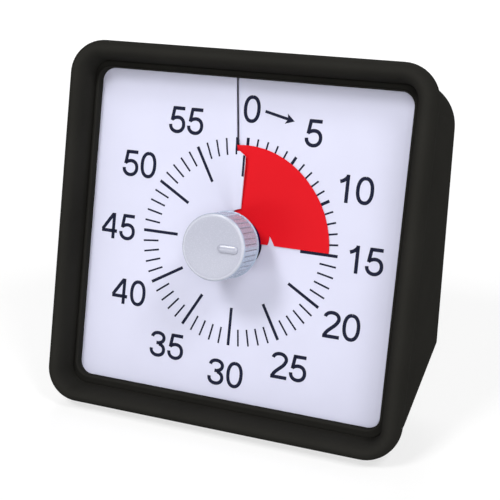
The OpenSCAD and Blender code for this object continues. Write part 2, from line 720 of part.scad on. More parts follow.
// ---- stand ----
module stand_leg() color([0.15, 0.14, 0.13]) on_leg() difference() {
    union() {
        box_between([-leg_half, 0, -leg_t / 2], [leg_half, leg_tip, leg_t / 2]);
        rotate([0, 90, 0]) cylinder(h = 2 * leg_half, r = barrel_r, center = true);
    }
    rotate([0, 90, 0]) cylinder(h = far, r = pin_r + fit, center = true);
    box_between([-leg_half + 9, 14, -leg_t], [leg_half - 9, leg_tip - 12, -0.8]);
    box_between([-7, -5, -5], [7, 4.2, 5]);
}

module leg_foot() color([0.1, 0.1, 0.1]) intersection() {
    on_leg() box_between([-leg_half, leg_tip, -leg_t / 2], [leg_half, leg_tip + 10, leg_t / 2]);
    box_between([-far, -far, 0], [far, far, far]);
}

module leg_pin() color([0.75, 0.75, 0.77]) translate([0, pivot_y, pivot_rise]) rotate([0, 90, 0])
    cylinder(h = 2 * pocket_half + 3, r = pin_r, center = true);

// Spring clip round the pin, whose tail lies in a slot of the pocket's floor
module detent_slot() box_between([-5, -3, -pocket_depth - 0.8], [5, 9, -pocket_depth + 0.1]);

module leg_detent() color([0.7, 0.66, 0.5]) on_back() translate([0, pivot_up, 0]) {
    box_between([-4.6, -2.6, -pocket_depth - 0.8], [4.6, 8.6, -pocket_depth]);
    difference() {
        translate([0, 0, pivot_in]) rotate([0, 90, 0]) cylinder(h = 9.2, r = 2.5, center = true);
        translate([0, 0, pivot_in]) rotate([0, 90, 0]) cylinder(h = 20, r = pin_r, center = true);
        box_between([-6, -5, pivot_in + 1.6], [6, 5, 5]);
    }
    box_between([-4.6, -0.6, -pocket_depth], [4.6, 0.6, pivot_in - 2]);
}

front_frame();
rear_case();
dial_plate();
film_carrier();
carrier_screws();
case_screws();
front_feet();
magnets();
battery_door();
battery_cell();
battery_spring();
battery_contact();
battery_leads();
sound_switch();
switch_body();
buzzer();
buzzer_ring();
circuit_board();
timer_chip();
quartz_crystal();
capacitor();
board_screws();
board_posts();
movement_plate();
movement_cover();
movement_screws();
shaft_bush();
bush_nut();
motor_stator();
motor_coil();
coil_bobbin();
rotor_magnet();
rotor_pinion();
rotor_arbor();
idler_wheel();
idler_arbor();
main_wheel();
clutch_spring();
shaft_clip();
knob_shaft();
film_hub();
film_clamp();
red_film();
knob();
knob_clip();
stand_leg();
leg_foot();
leg_pin();
leg_detent();
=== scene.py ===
"""Looks of the visual countdown timer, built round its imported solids.

Metres, +X right, +Y to the rear, +Z up. Unless a comment says otherwise, shapes are given in millimetres
in the dial frame: x right, y up the dial, z out of it, with the origin on the knob's axis. Angles on the
dial run anticlockwise from its right side, so minute 0 is at 90 degrees and minute 59 at 96.
"""

import json
import math

import bmesh
import bpy
from mathutils import Matrix, Vector
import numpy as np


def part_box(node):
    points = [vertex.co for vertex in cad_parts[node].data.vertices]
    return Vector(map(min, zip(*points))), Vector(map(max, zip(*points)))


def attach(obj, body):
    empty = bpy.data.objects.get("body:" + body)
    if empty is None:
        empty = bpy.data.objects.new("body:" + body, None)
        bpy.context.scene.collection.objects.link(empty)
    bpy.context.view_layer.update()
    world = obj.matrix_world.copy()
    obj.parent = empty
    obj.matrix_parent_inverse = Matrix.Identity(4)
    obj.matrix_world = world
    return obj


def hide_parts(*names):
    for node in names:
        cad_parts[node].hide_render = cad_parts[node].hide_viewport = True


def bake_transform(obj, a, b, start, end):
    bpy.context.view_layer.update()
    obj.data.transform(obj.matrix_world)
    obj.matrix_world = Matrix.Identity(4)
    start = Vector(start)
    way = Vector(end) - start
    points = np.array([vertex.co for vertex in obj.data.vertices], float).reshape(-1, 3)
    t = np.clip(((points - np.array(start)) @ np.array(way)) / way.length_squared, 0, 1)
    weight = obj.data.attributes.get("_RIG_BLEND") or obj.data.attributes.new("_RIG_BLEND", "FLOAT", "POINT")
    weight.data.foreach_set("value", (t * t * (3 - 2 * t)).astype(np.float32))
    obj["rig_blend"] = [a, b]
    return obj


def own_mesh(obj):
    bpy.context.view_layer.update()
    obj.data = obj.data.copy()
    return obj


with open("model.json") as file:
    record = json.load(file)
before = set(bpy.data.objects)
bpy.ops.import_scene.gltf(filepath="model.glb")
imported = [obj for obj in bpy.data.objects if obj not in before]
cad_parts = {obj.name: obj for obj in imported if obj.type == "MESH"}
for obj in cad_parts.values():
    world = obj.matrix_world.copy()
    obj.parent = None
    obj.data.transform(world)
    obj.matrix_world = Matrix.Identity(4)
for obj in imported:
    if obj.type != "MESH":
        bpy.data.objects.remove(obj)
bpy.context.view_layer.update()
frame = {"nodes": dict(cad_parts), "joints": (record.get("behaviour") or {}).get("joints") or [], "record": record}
nodes = frame["nodes"]
slots = {row["node"]: row["material_slot"] for row in frame["record"]["subparts"]}
body_of = {node: body for body, group in frame["record"]["behaviour"]["bodies"].items() for node in group}

MM = 0.001
TAU = 2 * math.pi

# ---- dial frame ----
knob_turn = next(joint for joint in frame["joints"] if joint["name"] == "knob_turn")
knob_axis = Vector(knob_turn["axis"]).normalized()
dial_up = knob_axis.cross(Vector((1, 0, 0)))
DIAL = Matrix.Translation(knob_turn["pos_m"]) @ (
    Matrix((Vector((1, 0, 0)), dial_up, knob_axis)).transposed().to_4x4() @ Matrix.Scale(MM, 4)
)


# ---- materials ----
DRIFT = 28.0          # size of the slow drift in a plastic's tone
METAL_GRAIN = 0.3
ZONE_EDGE = 0.3       # width of the blend between two zones
COAT_ROUGH = 0.12


def shader(name):
    """A new material with its Principled node and two helpers that add and join nodes."""
    mat = bpy.data.materials.new("look_" + name)
    mat.use_nodes = True
    tree = mat.node_tree
    bsdf = tree.nodes["Principled BSDF"]

    def add(kind, inputs=None, **props):
        node = tree.nodes.new(kind)
        for key, value in props.items():
            setattr(node, key, value)
        for key, value in (inputs or {}).items():
            if isinstance(value, bpy.types.NodeSocket):
                tree.links.new(value, node.inputs[key])
            else:
                node.inputs[key].default_value = value
        return node

    def join(socket, name):
        tree.links.new(socket, bsdf.inputs[name])

    return mat, bsdf, add, join


def plastic(name, colour, rough, size, bump, spread=0.06, grain=0.35, specular=0.5, coat=0.0,
            rough_spread=0.08, zones=()):
    """Moulded plastic: slow tone drift, and fine grain in the surface and in its roughness.

    size and bump are the grain's width and height. zones holds radii from the knob's axis, each with
    the colour of what lies beyond it; on the knob these colours are painted light.
    """
    mat, bsdf, add, join = shader(name)
    bsdf.inputs["Specular IOR Level"].default_value = specular
    if coat:
        bsdf.inputs["Coat Weight"].default_value = coat
        bsdf.inputs["Coat Roughness"].default_value = COAT_ROUGH
    where = add("ShaderNodeTexCoord").outputs["Object"]
    fine = add("ShaderNodeTexNoise",
               {"Vector": where, "Scale": 1 / (size * MM), "Detail": 3.0, "Roughness": 0.6})
    slow = add("ShaderNodeTexNoise", {"Vector": where, "Scale": 1 / (DRIFT * MM), "Detail": 2.0})
    both = add("ShaderNodeMath", {0: fine.outputs["Fac"], 1: grain}, operation="MULTIPLY")
    total = add("ShaderNodeMath", {0: slow.outputs["Fac"], 1: both.outputs[0]}, operation="ADD")
    dark = tuple(c * (1 - spread) for c in colour) + (1,)
    pale = tuple(min(1.0, c * (1 + spread)) for c in colour) + (1,)
    tone = add("ShaderNodeMapRange", {"Value": total.outputs[0], "From Min": 0.35, "From Max": 0.95})
    mix = add("ShaderNodeMix", {"Factor": tone.outputs["Result"], 6: dark, 7: pale}, data_type="RGBA")
    colour_out = mix.outputs[2]
    if zones:
        rel = add("ShaderNodeVectorMath", {0: where, 1: DIAL.translation}, operation="SUBTRACT")
        off_axis = add("ShaderNodeVectorMath", {0: rel.outputs[0], 1: knob_axis}, operation="CROSS_PRODUCT")
        far = add("ShaderNodeVectorMath", {0: off_axis.outputs[0]}, operation="LENGTH")
    # beyond each radius the zone's colour takes over; on the knob it is painted light
    for radius, beyond in zones:
        past = add("ShaderNodeMapRange", {"Value": far.outputs["Value"],
                                          "From Min": (radius - ZONE_EDGE) * MM, "From Max": radius * MM})
        zone = add("ShaderNodeMix", {"Factor": past.outputs["Result"], 6: colour_out, 7: beyond + (1,)},
                   data_type="RGBA")
        colour_out = zone.outputs[2]
    join(colour_out, "Base Color")
    gloss = add("ShaderNodeMapRange", {"Value": fine.outputs["Fac"], "From Min": 0.3, "From Max": 0.7,
                                       "To Min": rough - rough_spread, "To Max": rough + rough_spread})
    join(gloss.outputs["Result"], "Roughness")
    relief = add("ShaderNodeBump", {"Height": fine.outputs["Fac"], "Strength": 0.6, "Distance": bump * MM})
    join(relief.outputs["Normal"], "Normal")
    return mat


def metal(name, colour, rough):
    """Metal with fine mottling in its tone, its roughness and its surface."""
    mat, bsdf, add, join = shader(name)
    bsdf.inputs["Metallic"].default_value = 1.0
    where = add("ShaderNodeTexCoord").outputs["Object"]
    noise = add("ShaderNodeTexNoise", {"Vector": where, "Scale": 1 / (METAL_GRAIN * MM), "Detail": 4.0})
    dark = tuple(c * 0.82 for c in colour) + (1,)
    pale = tuple(min(1, c * 1.1) for c in colour) + (1,)
    tone = add("ShaderNodeMix", {"Factor": noise.outputs["Fac"], 6: dark, 7: pale}, data_type="RGBA")
    join(tone.outputs[2], "Base Color")
    gloss = add("ShaderNodeMapRange",
                {"Value": noise.outputs["Fac"], "To Min": rough - 0.1, "To Max": rough + 0.12})
    join(gloss.outputs["Result"], "Roughness")
    relief = add("ShaderNodeBump",
                 {"Height": noise.outputs["Fac"], "Strength": 0.25, "Distance": 0.01 * MM})
    join(relief.outputs["Normal"], "Normal")
    return mat


# On the knob, the first zone is a painted highlight: a paler ring on the rounded edge of its face. The second
# one paints the grip and the rim bluer, to cancel the red light that the film bounces onto them.
KNOB_PAINTED_LIGHT = ((14.8, (0.52, 0.535, 0.62)), (16.0, (0.42, 0.505, 0.645)))
PLASTICS = {
    "case_black": dict(colour=(0.0208, 0.0202, 0.0180), rough=0.55, spread=0.10, size=0.38, bump=0.016,
                       specular=0.0004),
    "dial_white": dict(colour=(0.66, 0.665, 0.815), rough=0.42, spread=0.022, grain=0.2, size=0.7,
                       bump=0.003, specular=0.4),
    "ink_navy": dict(colour=(0.010, 0.012, 0.032), rough=0.5, spread=0.12, size=0.5, bump=0.002,
                     specular=0.10),
    "film_red": dict(colour=(0.675, 0.006, 0.013), rough=0.42, spread=0.02, grain=0.2, size=1.1,
                     bump=0.001, specular=0.10),
    "knob_grey": dict(colour=(0.422, 0.434, 0.520), rough=0.26, spread=0.03, size=0.6, bump=0.002,
                      coat=0.25, rough_spread=0.04, zones=KNOB_PAINTED_LIGHT),
    "hub_black": dict(colour=(0.004, 0.002, 0.045), rough=0.45, size=0.5, bump=0.008, specular=0.02),
    "rubber_black": dict(colour=(0.018, 0.018, 0.018), rough=0.75, size=0.35, bump=0.03, specular=0.25),
    "carrier_grey": dict(colour=(0.035, 0.036, 0.04), rough=0.55, size=0.4, bump=0.015),
    "gear_cream": dict(colour=(0.72, 0.66, 0.50), rough=0.38, size=0.5, bump=0.005),
    "board_green": dict(colour=(0.010, 0.095, 0.035), rough=0.3, size=0.8, bump=0.01, coat=0.4),
    "cell_label": dict(colour=(0.62, 0.33, 0.03), rough=0.28, size=0.9, bump=0.004, coat=0.3),
    "lead_red": dict(colour=(0.42, 0.015, 0.015), rough=0.35, size=0.3, bump=0.01),
    "switch_white": dict(colour=(0.66, 0.67, 0.70), rough=0.4, size=0.4, bump=0.006),
    "capacitor_blue": dict(colour=(0.02, 0.05, 0.24), rough=0.3, size=0.5, bump=0.004, coat=0.3),
}
METALS = {
    "steel": dict(colour=(0.58, 0.59, 0.61), rough=0.3),
    "spring_bronze": dict(colour=(0.52, 0.42, 0.24), rough=0.3),
    "magnet_grey": dict(colour=(0.24, 0.245, 0.26), rough=0.45),
    "brass": dict(colour=(0.70, 0.50, 0.20), rough=0.25),
    "copper": dict(colour=(0.62, 0.24, 0.09), rough=0.3),
}
looks = {name: plastic(name, **how) for name, how in PLASTICS.items()}
looks.update({name: metal(name, **how) for name, how in METALS.items()})

for row in frame["record"]["subparts"]:
    node = nodes[row["node"]]
    node.data.materials.clear()
    node.data.materials.append(looks[row["material_slot"]])


# ---- helpers for shapes ----
def ramp(value, start, end):
    """A smooth step, from 0 where the value is at start or before it, to 1 at end."""
    t = max(0.0, min(1.0, (value - start) / (end - start)))
    return t * t * (3 - 2 * t)


def spread(a, b, n):
    """Points that part the line from a to b into n equal lengths."""
    return [(a[0] + (b[0] - a[0]) * i / n, a[1] + (b[1] - a[1]) * i / n) for i in range(n + 1)]


def arc(cx, cy, rx, ry, a0, a1, n, power):
    """Points of a superellipse's arc from angle a0 to a1."""
    pts = []
    for i in range(n + 1):
        a = math.radians(a0 + (a1 - a0) * i / n)
        c, s = math.cos(a), math.sin(a)
        pts.append((cx + rx * math.copysign(abs(c) ** (2 / power), c),
                    cy + ry * math.copysign(abs(s) ** (2 / power), s)))
    return pts


def bezier(p0, p1, p2, p3, n):
    """Points of a cubic curve."""
    out = []
    for i in range(n + 1):
        t = i / n
        k = ((1 - t) ** 3, 3 * t * (1 - t) ** 2, 3 * t * t * (1 - t), t ** 3)
        out.append(tuple(k[0] * p0[j] + k[1] * p1[j] + k[2] * p2[j] + k[3] * p3[j] for j in range(2)))
    return out


def rect_loop(hx, hy, r, z, corner=14, side=10):
    """A rounded rectangle at height z, anticlockwise from the upper end of its right side."""
    bends = []
    for sx, sy, turn in ((1, 1, 0), (-1, 1, 90), (-1, -1, 180), (1, -1, 270)):
        cx, cy = (hx - r) * sx, (hy - r) * sy
        angles = [math.radians(turn + 90 * i / corner) for i in range(corner + 1)]
        bends.append([(cx + r * math.cos(a), cy + r * math.sin(a)) for a in angles])
    pts = []
    for bend, following in zip(bends, bends[1:] + bends[:1]):
        pts += bend + spread(bend[-1], following[0], side)[1:-1]
    return [(x, y, z) for x, y in pts]


def edge_radius(a, hx, hy, corner):
    """Distance from the axis to a rounded rectangle along direction a."""
    c, s = math.cos(a), math.sin(a)
    t = min(hx / abs(c) if abs(c) > 1e-9 else 1e9, hy / abs(s) if abs(s) > 1e-9 else 1e9)
    x, y = abs(c * t), abs(s * t)
    if x > hx - corner and y > hy - corner:
        cx, cy = hx - corner, hy - corner
        b = abs(c) * cx + abs(s) * cy
        t = b + math.sqrt(max(0.0, b * b - (cx * cx + cy * cy - corner * corner)))
    return t


def loft(loops, closed=False, caps=False):
    """Vertices and faces of a skin over loops of equally many points.

    closed joins the last loop to the first one, and caps fills both.
    """
    verts, faces, n = [p for loop in loops for p in loop], [], len(loops[0])
    rows = len(loops)
    for j in range(rows if closed else rows - 1):
        k = (j + 1) % rows
        for i in range(n):
            m = (i + 1) % n
            faces.append((j * n + i, j * n + m, k * n + m, k * n + i))
    if caps:
        faces.append(tuple(range(n)))
        faces.append(tuple((rows - 1) * n + i for i in range(n)))
    return verts, faces


# ---- helpers for meshes ----
def finish_mesh(obj, material, sharp_deg):
    """Gives a new object its material, outward normals and smooth shading with sharp edges kept."""
    obj.data.materials.clear()
    obj.data.materials.append(material)
    work = bmesh.new()
    work.from_mesh(obj.data)
    bmesh.ops.remove_doubles(work, verts=work.verts, dist=1e-7)
    bmesh.ops.recalc_face_normals(work, faces=work.faces)
    limit = math.radians(sharp_deg)
    for face in work.faces:
        face.smooth = True
    for edge in work.edges:
        edge.smooth = len(edge.link_faces) == 2 and edge.calc_face_angle(0) < limit
    work.to_mesh(obj.data)
    work.free()


def piece(name, verts, faces, place, material, sharp_deg=32):
    """A new mesh object from vertices in a local frame, in its place but not yet riding on a body."""
    mesh = bpy.data.meshes.new(name)
    mesh.from_pydata([place @ Vector(v) for v in verts], [], faces)
    obj = bpy.data.objects.new(name, mesh)
    bpy.context.scene.collection.objects.link(obj)
    finish_mesh(obj, material, sharp_deg)
    return obj


def modify(obj, kind, **props):
    """Bakes a modifier into the mesh."""
    mod = obj.modifiers.new(kind.lower(), kind)
    for key, value in props.items():
        setattr(mod, key, value)
    bpy.context.view_layer.update()
    deps = bpy.context.evaluated_depsgraph_get()
    mesh = bpy.data.meshes.new_from_object(obj.evaluated_get(deps))
    old, obj.data = obj.data, mesh
    obj.modifiers.clear()
    bpy.data.meshes.remove(old)


# ---- outer parts kept from the CAD, with their edges rounded ----
def soften(name, node_name, width, segments=2):
    """A copy of a CAD node with its sharp edges rounded, which stands for the node."""
    slot, body = slots[node_name], body_of[node_name]
    mesh = nodes[node_name].data.copy()
    mesh.name = name
    obj = bpy.data.objects.new(name, mesh)
    bpy.context.scene.collection.objects.link(obj)
    work = bmesh.new()
    work.from_mesh(mesh)
    bmesh.ops.remove_doubles(work, verts=work.verts, dist=1e-7)
    bmesh.ops.dissolve_limit(work, angle_limit=math.radians(1.2), verts=work.verts, edges=work.edges)
    work.to_mesh(mesh)
    work.free()
    modify(obj, "BEVEL", width=width * MM, segments=segments, limit_method="ANGLE",
           angle_limit=math.radians(38), use_clamp_overlap=True, miter_outer="MITER_SHARP")
    finish_mesh(obj, looks[slot], sharp_deg=36)
    modify(obj, "WEIGHTED_NORMAL", keep_sharp=True, weight=80)
    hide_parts(node_name)
    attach(obj, body)


soften("leg_panel", "stand_leg", 0.6, segments=3)
soften("leg_pad", "leg_foot", 0.4)
soften("door_panel", "battery_door", 0.25)
soften("slider_cap", "sound_switch", 0.2)
soften("back_shell", "rear_case", 0.35)

# ---- front frame ----
TUBE = (89.6, 88.65, 12.8)       # half width, half height and corner radius of the roll's middle line
OPENING = (82.2, 79.8, 6.9)      # the same of the opening
LIP_TOP = 0.7                    # how far the opening's upper side is moved up
LOW_SIDE, TOP_SIDE = 0.5, 0.4    # how far the roll's lower and upper sides are moved up
FULL_SHIFT_Y = 60                # height above or below the axis where such a shift is full
ROLL_OUT, ROLL_IN = 4.6, 4.15    # the roll's reach to either side of its middle line
WIDEST_Z, INNER_Z, CROWN_Z = 8.6, 10.2, 17.75
ROLL_DEG, ROLL_STEPS = 165, 14   # the roll's arc from its inner side over the crown to its widest line
FLANK = 1.22                     # depth of the flank behind that line, in shares of its height
# pairs of the distance out from the opening's edge or the roll's middle line, and the height
LIP_PROFILE = ((0, 0.12), (0, 1), (0, 4.05), (0.12, 4.45), (0.42, 4.72), (0.85, 4.78), (1.35, 4.6),
               (1.9, 4.25))
GROOVE_PROFILE = ((-5.5, 4.0), (-5.1, 3.85), (-4.95, 3.4), (-4.75, 3.35), (-4.62, 3.6), (-4.56, 4.6),
                  (-4.35, 7.5))
BACK_PROFILE = ((2.86, 0.5), (2.5, 0.2), (2.0, 0.12), (-3, 0.12), (-5, 0.12))


def tube_ring(out, z):
    """A ring of the roll, with its lower and upper sides moved up a little."""
    share = ramp(out, -ROLL_OUT, 0)
    return [(x, y + share * (LOW_SIDE * ramp(y, 0, -FULL_SHIFT_Y) + TOP_SIDE * ramp(y, 0, FULL_SHIFT_Y)), z)
            for x, y, z in rect_loop(TUBE[0] + out, TUBE[1] + out, TUBE[2] + out, z)]


def lip_ring(out, z):
    """A ring of the lip round the opening, with its upper side moved up a little."""
    share = 1 - ramp(out, 0, 2)
    return [(x, y + share * LIP_TOP * ramp(y, 0, FULL_SHIFT_Y), z)
            for x, y, z in rect_loop(OPENING[0] + out, OPENING[1] + out, OPENING[2] + out, z)]


def make_frame():
    """Lip, groove, roll and back of the frame, as one closed skin."""
    rings = [lip_ring(out, z) for out, z in LIP_PROFILE]
    rings += [tube_ring(out, z) for out, z in GROOVE_PROFILE]
    for step in range(ROLL_STEPS + 1):
        a = math.radians(ROLL_DEG - ROLL_DEG * step / ROLL_STEPS)
        half, low = (ROLL_IN, INNER_Z) if math.cos(a) < 0 else (ROLL_OUT, WIDEST_Z)
        rings.append(tube_ring(half * math.cos(a), low + (CROWN_Z - low) * math.sin(a)))
    for deg in range(-8, -50, -8):
        a = math.radians(deg)
        rings.append(tube_ring(ROLL_OUT * math.cos(a), WIDEST_Z * (1 + FLANK * math.sin(a))))
    rings += [tube_ring(out, z) for out, z in BACK_PROFILE]
    verts, faces = loft(rings, closed=True)
    body = piece("frame_shell", verts, faces, DIAL, looks["case_black"])
    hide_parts("front_frame")
    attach(body, "housing")


make_frame()

# ---- dial ----
SLIT_DEG = 96
SLIT = math.radians(SLIT_DEG)
HUB_HOLE = 12.8
DIAL_T = 0.8
SHEET_COVER, SHEET_CORNER = 1, 6             # the sheet goes on under the frame, with this corner radius
SLIT_HALF = 0.33
SLIT_SHIFT = 0.36                            # to the right of the radius at minute 59
LEFT_RISE, FLAP_RISE, RIGHT_SINK = 0.7, 1.5, 1.2
LEFT_DEG, RIGHT_DEG = 124, 36                # where the rise and the sink begin
RISE_R, SINK_R = (2, 12), (12, 34)           # radii over which they grow to the full
FLAP_RISE_R = (51, 45.5)                     # radii over which the flap's greater rise comes in
SINK_EASED, EASED_R = 0.3, (55, 80)          # share of the sink that is lost again, over these radii
SLIT_OPENS = 4.5                             # degrees over which the slit's sides come to their places
LIP_IN, LIP_R = 17.1, 45.24                  # radii of the flap that goes on over the slit
LIP_PAST, LIP_CORNER, LIP_ROWS = 0.5, 3.4, 6
CUT_Y, CUT_SLOPE = 16.944, 0.322             # line of the cut beside the slit, where the film comes up
CUT_DEG = (98.5, 112)                        # where the cut leaves that line and where it ends
UNDER_STEP, UNDER_DROP = 0.6, 0.75
RIM_STEPS = 4


def dial_height(x, y, flap=False):
    """Height of the dial's face: it rises to the slit from the left and sinks to it from the right."""
    r, a = math.hypot(x, y), math.degrees(math.atan2(y, x)) % 360
    if flap or SLIT_DEG <= a <= LEFT_DEG:
        near = 1.0 if flap else ramp(a, LEFT_DEG, SLIT_DEG + 2)
        return near * (LEFT_RISE + (FLAP_RISE - LEFT_RISE) * ramp(r, *FLAP_RISE_R)) * ramp(r, *RISE_R)
    if RIGHT_DEG <= a < SLIT_DEG:
        sink = -RIGHT_SINK * ramp(a, RIGHT_DEG, SLIT_DEG - 2) * ramp(r, *SINK_R)
        return sink * (1 - SINK_EASED * ramp(r, *EASED_R))
    return 0.0


def hub_reach(deg):
    """Inner radius of the sheet, cut back beside the slit where the film comes up under the flap."""
    if not SLIT_DEG <= deg <= CUT_DEG[1]:
        return HUB_HOLE
    a = math.radians(deg)
    cut = CUT_Y / (math.sin(a) - CUT_SLOPE * math.cos(a))
    return cut + (HUB_HOLE - cut) * ramp(deg, *CUT_DEG)


def make_dial():
    """The sheet, in spokes from the slit's left side round to its right side, and the flap."""
    radii = [LIP_IN, 20, 24, 28, 32, 36, 40, 43, LIP_R, 46, 47, 48, 49, 50, 51, 54, 58, 62, 66, 70]
    near_slit = [0, 0.6, 1.4, 2.4, 3.6, 5, 7, 9, 11.5, 14, 17, 20, 24, 28]
    turns = [(SLIT_DEG + d, 1) for d in near_slit]
    turns += [(a, 0) for a in range(127, 424, 3)]
    turns += [(360 + SLIT_DEG - d, -1) for d in reversed(near_slit)]
    verts, faces = [], []
    across = 2 + len(radii) + RIM_STEPS

    def spoke(deg, side):
        a = math.radians(deg)
        from_slit = abs((deg - SLIT_DEG + 180) % 360 - 180)
        shift = (side * SLIT_HALF - SLIT_SHIFT) * (1 - ramp(from_slit, 0, SLIT_OPENS))
        reach = edge_radius(a, OPENING[0] + SHEET_COVER, OPENING[1] + SHEET_COVER, SHEET_CORNER)
        hub = hub_reach(deg) if side >= 0 else HUB_HOLE
        last = radii[-1]
        row = []
        for r in ([hub, hub + (LIP_IN - hub) * 0.4] + radii
                  + [last + (reach - last) * (i + 1) / RIM_STEPS for i in range(RIM_STEPS)]):
            x = r * math.cos(a) - shift * math.sin(SLIT)
            y = r * math.sin(a) + shift * math.cos(SLIT)
            # at the slit itself, the side says which height holds
            h = dial_height(r * math.cos(a + side * 1e-4), r * math.sin(a + side * 1e-4))
            row.append((x, y, h))
        return row

    for deg, side in turns:
        verts += spoke(deg, side)
    for j in range(len(turns) - 1):
        for i in range(across - 1):
            a, b = j * across + i, (j + 1) * across + i
            faces.append((a, b, b + 1, a + 1))
    # outside the film, the right side goes on below the left one, so that no gap opens
    outer = range(2 + radii.index(49), across)
    edge = (len(turns) - 1) * across
    m = len(outer)
    for k in (1, 2):
        base = len(verts)
        for i in outer:
            x, y, z = verts[edge + i]
            verts.append((x - UNDER_STEP * k * math.sin(SLIT), y + UNDER_STEP * k * math.cos(SLIT),
                          z - UNDER_DROP * k))
        for i in range(m - 1):
            a = edge + outer[i] if k == 1 else base - m + i
            faces.append((a, base + i, base + i + 1, a + 1))
    # the flap continues the left side over the slit, to just past the zero mark
    base = len(verts)
    flap_radii = [LIP_IN, LIP_IN] + [r for r in radii if r <= LIP_R]
    m = len(flap_radii)
    for k in range(1, LIP_ROWS + 1):
        for (x0, y0, _), r in zip(verts[:m], flap_radii):
            cut = max(0.0, r - (LIP_R - LIP_CORNER))
            x1 = LIP_PAST - (LIP_CORNER - math.sqrt(max(0.0, LIP_CORNER ** 2 - cut ** 2)))
            y1 = math.sqrt(max(0.0, r * r - x1 * x1))
            t = k / LIP_ROWS
            x, y = x0 + (x1 - x0) * t, y0 + (y1 - y0) * t
            verts.append((x, y, dial_height(x, y, flap=True)))
    for k in range(LIP_ROWS):
        for i in range(m - 1):
            a = i if k == 0 else base + (k - 1) * m + i
            b = base + k * m + i
            faces.append((a, a + 1, b + 1, b))
    dial = piece("dial_sheet", verts, faces, DIAL, looks["dial_white"], sharp_deg=60)
    faces_out = dial.data.polygons[0].normal.dot(knob_axis) > 0
    modify(dial, "SOLIDIFY", thickness=DIAL_T * MM, offset=-1 if faces_out else 1)
    finish_mesh(dial, looks["dial_white"], sharp_deg=40)
    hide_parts("dial_plate")
    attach(dial, "housing")


make_dial()

# ---- print on the dial ----
INK, INK_T = 0.045, 0.09      # height over the dial's face, and thickness
RING_R = 52.0
MAJOR_IN, MINOR_IN = 0.6328 * RING_R, 0.8379 * RING_R
MAJOR_W, MINOR_W = 1.5, 0.9
MARK_GAP, MARK_SHORT = 0.6, 1.9       # from the flap's end to the zero mark's outer and inner piece
MARK_SHIFT = 0.12             # how far the marks on the flap are off their places
ARROW_TAIL, ARROW_TIP = (7.7, 65.6), (23.33, 62.04)
ARROW_W, ARROW_NECK = 1.42, (-2.2, 0.5)
ARROW_BARBS = [(19.4, 65.55), (19.9, 62.85), (18.2, 60.45)]

STROKE = 0.132   # widths of strokes and glyphs are in heights of a numeral, baseline at y = 0
HALF = STROKE / 2
WIDE = 0.635
GLYPHS = {
    "0": [arc(WIDE / 2, 0.5, WIDE / 2 - HALF, 0.5 - HALF, 90, 450, 44, 2.25)],
    "1": [spread((0.40, 0.0), (0.40, 1.0), 4),
          bezier((0.40, 0.94), (0.345, 0.84), (0.25, 0.765), (0.13, 0.735), 8)],
    "2": [arc(0.315, 0.72, 0.25, 0.28 - HALF, 168, -14, 18, 2.1)
          + bezier((0.548, 0.655), (0.475, 0.435), (0.17, 0.33), (0.085, 0.075), 12),
          spread((0.025, HALF), (0.63, HALF), 4)],
    "3": [arc(0.30, 0.742, 0.235, 0.258 - HALF, 174, -76, 18, 2.1),
          arc(0.305, 0.287, 0.25, 0.287 - HALF, 80, -188, 22, 2.1),
          spread((0.245, 0.545), (0.395, 0.545), 2)],
    "4": [spread((0.453, 0.0), (0.453, 0.985), 4),
          spread((-0.022, 0.293), (0.603, 0.293), 4),
          [(0.425, 0.945), (0.273, 0.72), (0.153, 0.54), (0.013, 0.33)]],
    "5": [spread((0.15, 0.932), (0.58, 0.932), 3),
          [(0.178, 0.985), (0.145, 0.76), (0.103, 0.475)],
          bezier((0.09, 0.495), (0.26, 0.665), (0.57, 0.625), (0.565, 0.325), 12)
          + arc(0.31, 0.325, 0.255, 0.325 - HALF, 0, -180, 17, 2.1)[1:]],
}
ADVANCE = 0.709         # from one digit to the next
STRETCH = 1.045         # of the digits' widths
NUMERAL_H = 13.5
NUMERAL_R = 66.45       # circle on which the numerals' middles lie
# how far the numerals 0, 5, 10 and so on are off their places on that circle
NUDGE = [(0.65, -0.4), (0.62, -0.26), (-0.09, -0.44), (-0.44, -0.14), (-0.34, 0.08), (-0.39, 0.04),
         (-0.05, -0.02), (-0.27, -0.11), (-0.6, -0.08), (-0.63, -0.06), (-0.13, -0.21), (-0.19, -0.21)]


def ribbon(path, width, flap=False):
    """Vertices and faces of a flat stroke of one width along a path, lying on the dial."""
    verts, faces, n = [], [], len(path)
    for i, p in enumerate(path):
        a = Vector(path[max(0, i - 1)])
        b = Vector(path[min(n - 1, i + 1)])
        d1 = (Vector(p) - a).normalized() if i else (b - Vector(p)).normalized()
        d2 = (b - Vector(p)).normalized() if i < n - 1 else d1
        along = (d1 + d2).normalized()
        side = Vector((-along.y, along.x)) * width / 2 / max(0.35, along.dot(d1))
        for s in (1, -1):
            q = Vector(p) + side * s
            verts.append((q.x, q.y, dial_height(q.x, q.y, flap) + INK))
    for i in range(n - 1):
        faces.append((2 * i, 2 * i + 1, 2 * i + 3, 2 * i + 2))
    return verts, faces


